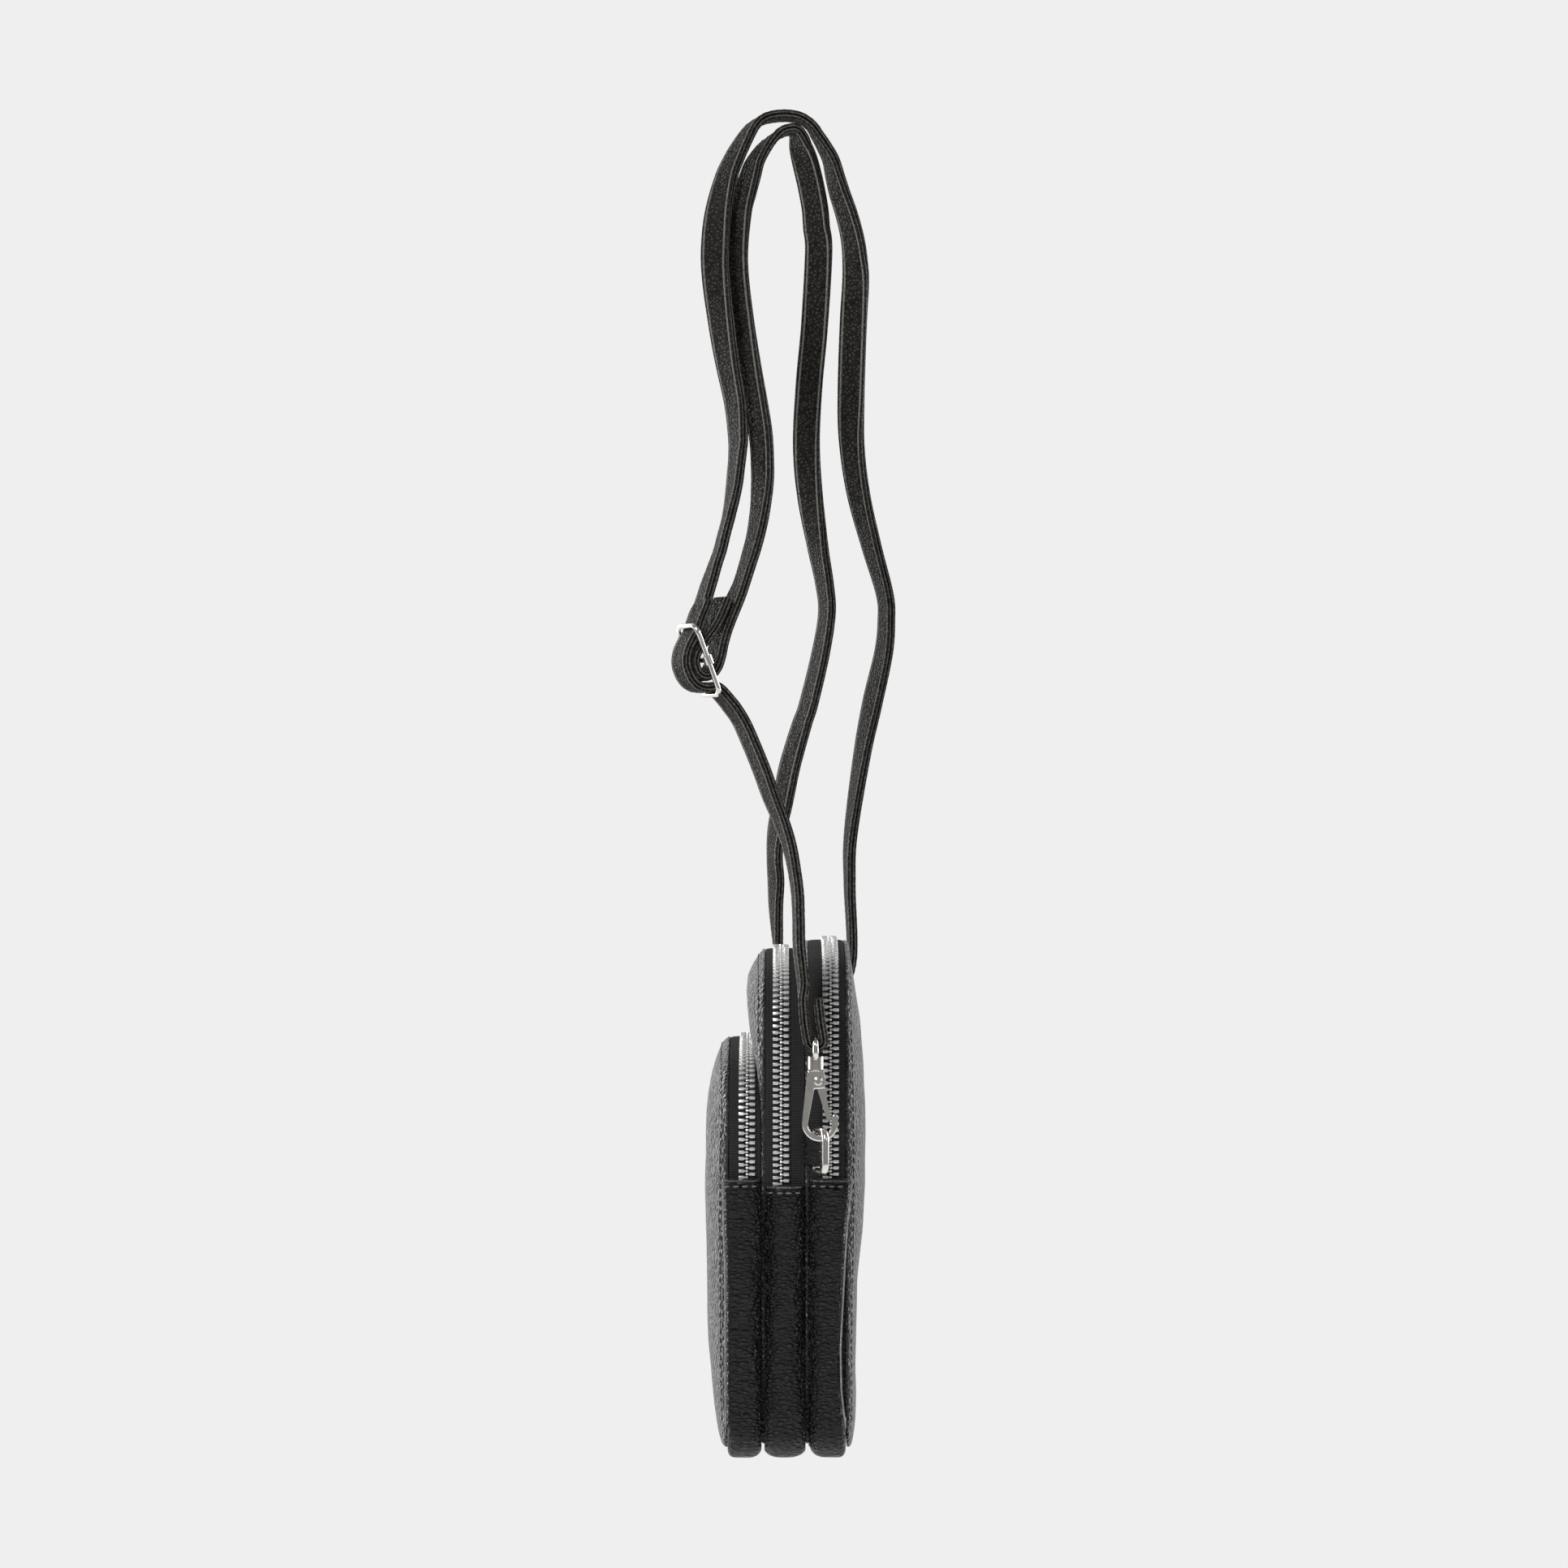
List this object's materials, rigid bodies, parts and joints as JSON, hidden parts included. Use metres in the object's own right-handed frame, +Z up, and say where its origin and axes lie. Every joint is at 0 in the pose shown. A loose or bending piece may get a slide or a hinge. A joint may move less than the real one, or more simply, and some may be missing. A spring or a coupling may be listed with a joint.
{
  "type": "crossbody phone pouch",
  "caption": "Slim pebbled-leather crossbody pouch with stacked zipped compartments, hung by a doubled strap with a sliding adjuster, snap hooks and D-rings.",
  "frame": {"origin": "underside of the innermost stretch of strap where it hangs over a peg", "axes": "+Z up, +Y from the pouch's front to its back, +X towards the side with the adjuster"},
  "size_m": [0.1441, 0.0806, 0.4813],
  "materials": {
    "pouch_leather": "pebbled, satin",
    "strap_leather": "fine grain, stitched",
    "zip_tape": "woven",
    "zip_teeth": "polished",
    "zip_metal": "polished",
    "hardware_metal": "polished nickel",
    "rivet_steel": "polished"
  },
  "bodies": {
    "strap": {"strap_near_run": "strap_leather", "strap_outer_near": "strap_leather", "strap_outer_far": "strap_leather", "strap_inner_far": "strap_leather", "strap_inner_near": "strap_leather", "adjuster_frame": "hardware_metal", "adjuster_bar": "hardware_metal", "near_eye": "hardware_metal", "far_eye": "hardware_metal"},
    "near_hook": {"near_hook": "hardware_metal", "near_rivet": "rivet_steel"},
    "near_gate": {"near_gate": "hardware_metal"},
    "far_hook": {"far_hook": "hardware_metal", "far_rivet": "rivet_steel"},
    "far_gate": {"far_gate": "hardware_metal"},
    "pouch": {"front_panel": "pouch_leather", "middle_front_panel": "pouch_leather", "divider_panel": "pouch_leather", "back_panel": "pouch_leather", "front_gusset": "pouch_leather", "middle_gusset": "pouch_leather", "rear_gusset": "pouch_leather", "front_zip_front_tape": "zip_tape", "front_zip_back_tape": "zip_tape", "middle_zip_front_tape": "zip_tape", "middle_zip_back_tape": "zip_tape", "rear_zip_front_tape": "zip_tape", "rear_zip_back_tape": "zip_tape", "front_zip_front_teeth": "zip_teeth", "front_zip_back_teeth": "zip_teeth", "middle_zip_front_teeth": "zip_teeth", "middle_zip_back_teeth": "zip_teeth", "rear_zip_front_teeth": "zip_teeth", "rear_zip_back_teeth": "zip_teeth", "near_tab": "pouch_leather", "far_tab": "pouch_leather"},
    "near_ring": {"near_ring": "hardware_metal"},
    "far_ring": {"far_ring": "hardware_metal"},
    "front_slider": {"front_slider": "zip_metal"},
    "middle_slider": {"middle_slider": "zip_metal"},
    "rear_slider": {"rear_slider": "zip_metal"},
    "front_pull": {"front_pull": "zip_metal"},
    "middle_pull": {"middle_pull": "zip_metal"},
    "rear_pull": {"rear_pull": "zip_metal"}
  },
  "joints": [
    {"name": "near_swivel", "type": "hinge", "parent": "strap", "child": "near_hook", "pos_m": [0.064, 0.00713, -0.33322], "axis": [0, 0, 1], "range_deg": [-10, 10]},
    {"name": "far_swivel", "type": "hinge", "parent": "strap", "child": "far_hook", "pos_m": [-0.064, 0.00322, -0.33322], "axis": [0, 0, 1], "range_deg": [-10, 10]},
    {"name": "near_gate_hinge", "type": "hinge", "parent": "near_hook", "child": "near_gate", "pos_m": [0.064, 0.00806, -0.33919], "axis": [1, 0, 0], "range_deg": [-25, 0], "stiffness_Nm_per_rad": 0.01, "springref_deg": 20.05},
    {"name": "far_gate_hinge", "type": "hinge", "parent": "far_hook", "child": "far_gate", "pos_m": [-0.064, 0.00415, -0.33919], "axis": [1, 0, 0], "range_deg": [-25, 0], "stiffness_Nm_per_rad": 0.01, "springref_deg": 20.05},
    {"name": "pouch_swing", "type": "hinge", "parent": "strap", "child": "pouch", "pos_m": [0, 0.00653, -0.35617], "axis": [0.9993, 0.0371, 0], "range_deg": [-20, 20]},
    {"name": "near_ring_turn", "type": "hinge", "parent": "pouch", "child": "near_ring", "pos_m": [0.0596, 0.00731, -0.36342], "axis": [0, 0, 1], "range_deg": [-3, 3]},
    {"name": "far_ring_turn", "type": "hinge", "parent": "pouch", "child": "far_ring", "pos_m": [-0.0596, 0.00415, -0.36342], "axis": [0, 0, 1], "range_deg": [-3, 3]},
    {"name": "front_zip_run", "type": "slide", "parent": "pouch", "child": "front_slider", "axis": [0, 0, 1], "range_m": [0, 0.005], "deforming": ["front_zip_front_teeth", "front_zip_back_teeth"]},
    {"name": "middle_zip_run", "type": "slide", "parent": "pouch", "child": "middle_slider", "axis": [0, 0, 1], "range_m": [0, 0.036], "deforming": ["middle_zip_front_teeth", "middle_zip_back_teeth"]},
    {"name": "rear_zip_run", "type": "slide", "parent": "pouch", "child": "rear_slider", "axis": [0, 0, 1], "range_m": [0, 0.026], "deforming": ["rear_zip_front_teeth", "rear_zip_back_teeth"]},
    {"name": "front_pull_hinge", "type": "hinge", "parent": "front_slider", "child": "front_pull", "pos_m": [-0.05725, -0.01682, -0.36782], "axis": [0, -1, 0], "range_deg": [-100, 0]},
    {"name": "middle_pull_hinge", "type": "hinge", "parent": "middle_slider", "child": "middle_pull", "pos_m": [-0.05725, -0.00488, -0.37012], "axis": [0, -1, 0], "range_deg": [-100, 0]},
    {"name": "rear_pull_hinge", "type": "hinge", "parent": "rear_slider", "child": "rear_pull", "pos_m": [-0.05725, 0.01252, -0.36782], "axis": [0, -1, 0], "range_deg": [-100, 0]}
  ]
}
